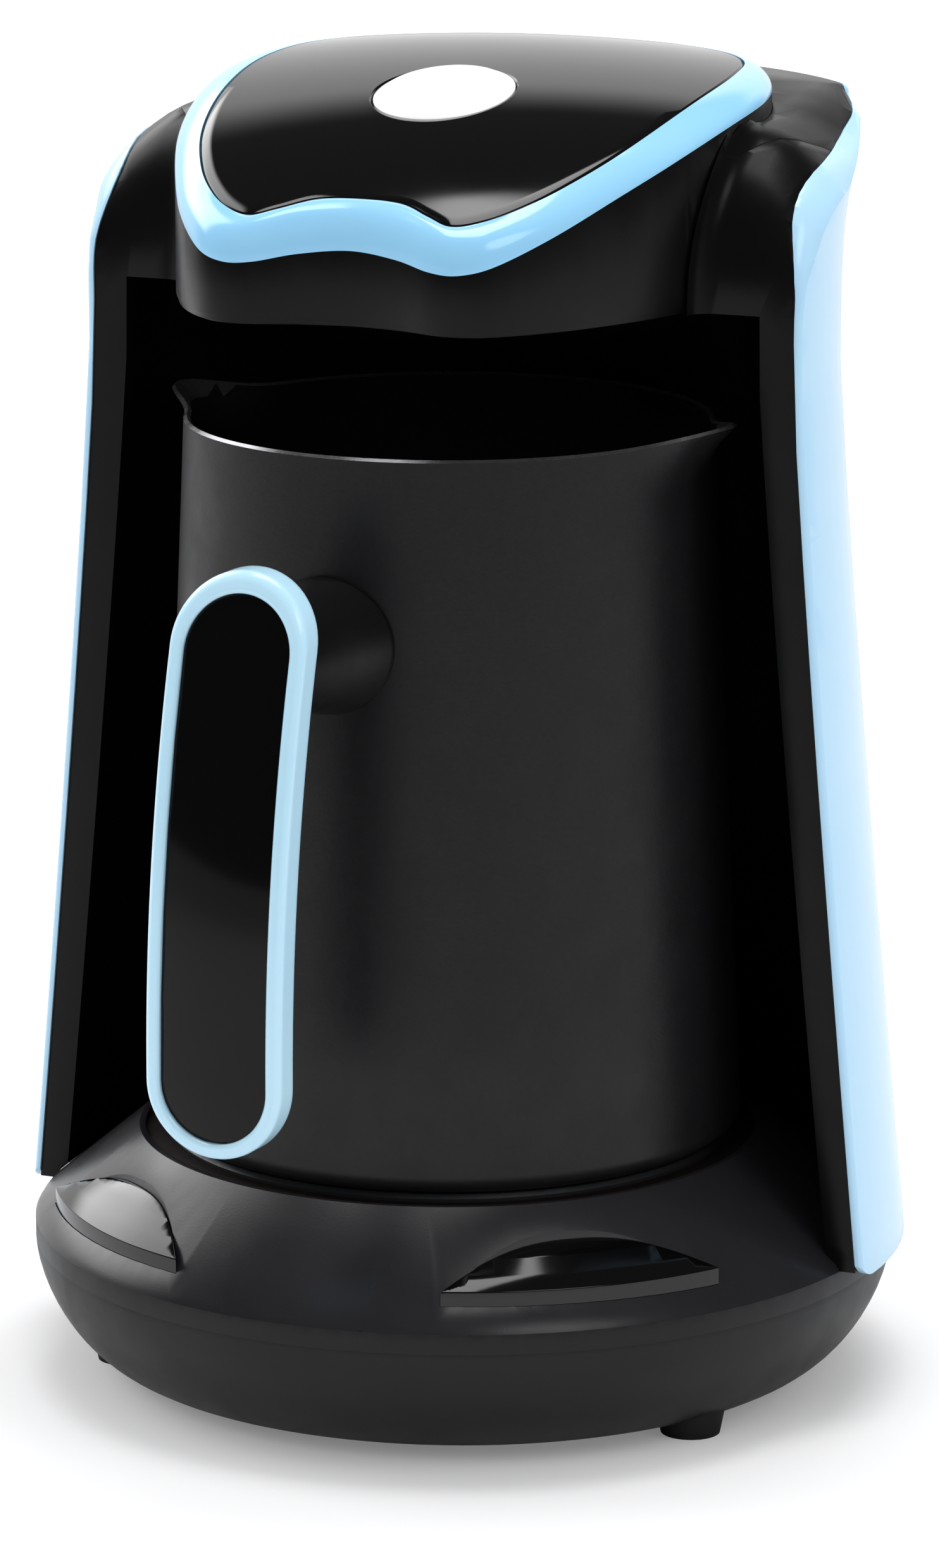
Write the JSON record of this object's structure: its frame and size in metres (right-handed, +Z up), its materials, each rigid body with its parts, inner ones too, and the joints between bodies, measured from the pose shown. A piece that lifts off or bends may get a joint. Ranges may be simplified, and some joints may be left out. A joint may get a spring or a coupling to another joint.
{
  "type": "electric turkish coffee maker",
  "caption": "Electric Turkish coffee maker: round heated base, horseshoe body with a hooded head and start button, and a lift-out pot with pouring lips and a long handle.",
  "frame": {"origin": "centre of the object's footprint box, on the table that the feet stand on", "axes": "+Z up, -Y towards the front where the pot's handle hangs, +X to the right as seen from the front"},
  "size_m": [0.1804, 0.1963, 0.262],
  "materials": {
    "base_plastic": "satin, softly rounded",
    "deck_plastic": "satin with a fine grain",
    "foot_rubber": "matte",
    "window_gloss": "high gloss, dark",
    "plate_metal": "turned, coated",
    "seal_rubber": "matte silicone",
    "element_steel": "oxidised tube",
    "zinc_steel": "zinc plated",
    "phenolic": "dry, off-white",
    "fuse_case": "plain",
    "board_green": "solder resist",
    "relay_blue": "gloss",
    "winding": "tape-wound coil",
    "terminal_green": "plain",
    "gland_rubber": "matte",
    "black_part": "plain",
    "wire_red": "insulated wires",
    "housing_black": "semi-gloss",
    "shell_blue": "gloss, pale blue",
    "plate_gloss": "high gloss",
    "button_white": "gloss",
    "pale_part": "plain",
    "sensor_window": "dark filter",
    "pot_coat": "satin coating on steel",
    "handle_black": "satin",
    "inset_gloss": "high gloss"
  },
  "bodies": {
    "housing": {"base_bowl": "base_plastic", "base_deck": "deck_plastic", "foot_front_left": "foot_rubber", "foot_front_right": "foot_rubber", "foot_rear_left": "foot_rubber", "foot_rear_right": "foot_rubber", "window_left": "window_gloss", "window_right": "window_gloss", "heating_plate": "plate_metal", "plate_seal": "seal_rubber", "heating_element": "element_steel", "element_bracket": "zinc_steel", "bracket_screws": "zinc_steel", "thermostat": "phenolic", "thermal_fuse": "fuse_case", "power_board": "board_green", "power_board_screws": "zinc_steel", "relay": "relay_blue", "transformer": "winding", "terminal_block": "terminal_green", "cord_gland": "gland_rubber", "cord_clamp": "black_part", "clamp_screws": "zinc_steel", "base_screws": "zinc_steel", "body_screws": "zinc_steel", "wire_bundle": "wire_red", "front_housing": "housing_black", "shoulder_cap": "housing_black", "outer_shell": "shell_blue", "trim_ring": "shell_blue", "top_plate": "plate_gloss", "tact_switch": "black_part", "control_board": "board_green", "control_board_screws": "zinc_steel", "indicator_led": "pale_part", "buzzer": "black_part", "foam_sensor": "board_green", "sensor_lens": "sensor_window"},
    "pot": {"pot_body": "pot_coat", "handle_neck": "handle_black", "handle_ring": "shell_blue", "handle_inset": "inset_gloss", "handle_screw": "zinc_steel"},
    "button": {"start_button": "button_white", "switch_plunger": "pale_part"}
  },
  "joints": [
    {"name": "pot_pull", "type": "slide", "parent": "housing", "child": "pot", "axis": [0, -1, 0], "range_m": [0, 0.16]},
    {"name": "button_press", "type": "slide", "parent": "housing", "child": "button", "axis": [0, 0.2579, -0.9662], "range_m": [0, 0.001], "stiffness_N_per_m": 1500, "springref_m": -0.0004}
  ]
}
